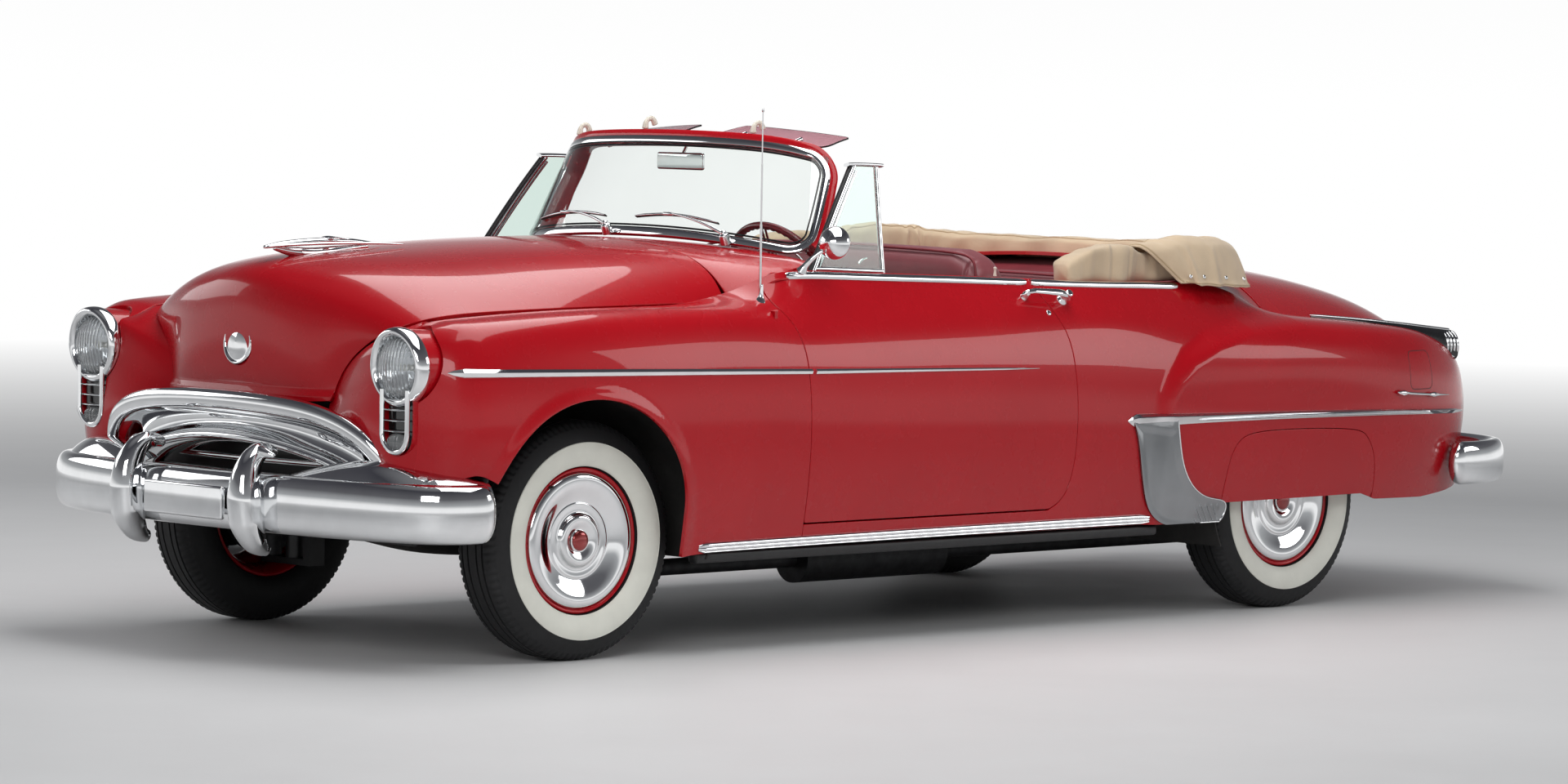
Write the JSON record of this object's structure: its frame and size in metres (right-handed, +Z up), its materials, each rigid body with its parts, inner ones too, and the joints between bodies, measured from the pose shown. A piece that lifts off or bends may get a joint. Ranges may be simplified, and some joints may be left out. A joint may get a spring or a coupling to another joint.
{
  "type": "two-door convertible car",
  "caption": "Two-door convertible car with its soft top folded, opening doors, hood and deck lid, and steered front wheels.",
  "frame": {"origin": "on the ground, at the middle of the car's length and width", "axes": "+Z up, +Y towards the tail, +X towards the car's left side"},
  "size_m": [1.9226, 5.1384, 1.6091],
  "materials": {
    "body_paint": "gloss",
    "chrome": "polished",
    "glass": "clear",
    "lamp_glass": "ribbed",
    "tyre": "matte",
    "wheel_paint": "gloss",
    "leather": "satin",
    "canvas": "matte",
    "chassis_black": "satin",
    "underbody": "matte",
    "visor_tint": "gloss",
    "steering_plastic": "gloss",
    "steel": "satin",
    "cast_iron": "matte"
  },
  "bodies": {
    "body": {"front_fenders": "body_paint", "rear_quarters": "body_paint", "rear_deck_panel": "body_paint", "cowl": "body_paint", "floor_pan": "underbody", "frame": "chassis_black", "front_suspension": "chassis_black", "rear_axle": "chassis_black", "engine": "cast_iron", "radiator": "chassis_black", "exhaust": "steel", "fuel_tank": "chassis_black", "grille": "chrome", "front_bumper": "chrome", "rear_bumper": "chrome", "headlamp_rims": "chrome", "headlamp_lenses": "lamp_glass", "parking_lamps": "chrome", "windshield_frame": "body_paint", "windshield_glass": "glass", "dashboard": "body_paint", "front_seat": "leather", "rear_seat": "leather", "top_boot": "canvas", "steering_column": "steering_plastic", "fender_skirts": "body_paint", "tail_lamps": "chrome", "nose_panels": "body_paint", "tail_panels": "body_paint", "splash_pans": "body_paint", "rocker_panels": "body_paint", "side_trim": "chrome", "antenna": "chrome", "sun_visors": "visor_tint"},
    "hood": {"hood": "body_paint", "hood_ornament": "chrome"},
    "deck_lid": {"deck_lid": "body_paint"},
    "door_left": {"door_left": "body_paint", "door_chrome_left": "chrome", "vent_glass_left": "glass"},
    "door_right": {"door_right": "body_paint", "door_chrome_right": "chrome", "vent_glass_right": "glass"},
    "knuckle_left": {"knuckle_left": "cast_iron"},
    "knuckle_right": {"knuckle_right": "cast_iron"},
    "steering_wheel": {"steering_wheel": "steering_plastic"},
    "wheel_front_left": {"tyre_front_left": "tyre", "wheel_front_left": "wheel_paint"},
    "wheel_front_right": {"tyre_front_right": "tyre", "wheel_front_right": "wheel_paint"},
    "wheel_rear_left": {"tyre_rear_left": "tyre", "wheel_rear_left": "wheel_paint"},
    "wheel_rear_right": {"tyre_rear_right": "tyre", "wheel_rear_right": "wheel_paint"}
  },
  "joints": [
    {"name": "door_left_swing", "type": "hinge", "parent": "body", "child": "door_left", "pos_m": [0.939, -0.92847, 0.7], "axis": [0, 0, -1], "range_deg": [0, 62]},
    {"name": "door_right_swing", "type": "hinge", "parent": "body", "child": "door_right", "pos_m": [-0.939, -0.92847, 0.7], "axis": [0, 0, 1], "range_deg": [0, 62]},
    {"name": "hood_lift", "type": "hinge", "parent": "body", "child": "hood", "pos_m": [0, -1.03548, 1.1998], "axis": [-1, 0, 0], "range_deg": [0, 50]},
    {"name": "deck_lid_lift", "type": "hinge", "parent": "body", "child": "deck_lid", "pos_m": [0, 1.35305, 1.1242], "axis": [1, 0, 0], "range_deg": [0, 55]},
    {"name": "steer_left", "type": "hinge", "parent": "body", "child": "knuckle_left", "pos_m": [0.64, -1.7085, 0.35], "axis": [0, 0, 1], "range_deg": [-30, 30]},
    {"name": "steer_right", "type": "hinge", "parent": "body", "child": "knuckle_right", "pos_m": [-0.64, -1.7085, 0.35], "axis": [0, 0, 1], "range_deg": [-30, 30]},
    {"name": "steering_wheel_turn", "type": "hinge", "parent": "body", "child": "steering_wheel", "pos_m": [0.3768, -0.50967, 1.056], "axis": [0, 0.8829, 0.4695], "range_deg": [-600, 600]},
    {"name": "roll_front_left", "type": "hinge", "parent": "knuckle_left", "child": "wheel_front_left", "pos_m": [0.724, -1.7085, 0.35], "axis": [1, 0, 0], "continuous": true},
    {"name": "roll_front_right", "type": "hinge", "parent": "knuckle_right", "child": "wheel_front_right", "pos_m": [-0.724, -1.7085, 0.35], "axis": [1, 0, 0], "continuous": true},
    {"name": "roll_rear_left", "type": "hinge", "parent": "body", "child": "wheel_rear_left", "pos_m": [0.7495, 1.3265, 0.35], "axis": [1, 0, 0], "continuous": true},
    {"name": "roll_rear_right", "type": "hinge", "parent": "body", "child": "wheel_rear_right", "pos_m": [-0.7495, 1.3265, 0.35], "axis": [1, 0, 0], "continuous": true}
  ],
  "couplings": [
    {"joint": "steer_left", "follows": "steering_wheel_turn", "ratio": 0.05},
    {"joint": "steer_right", "follows": "steering_wheel_turn", "ratio": 0.05}
  ]
}
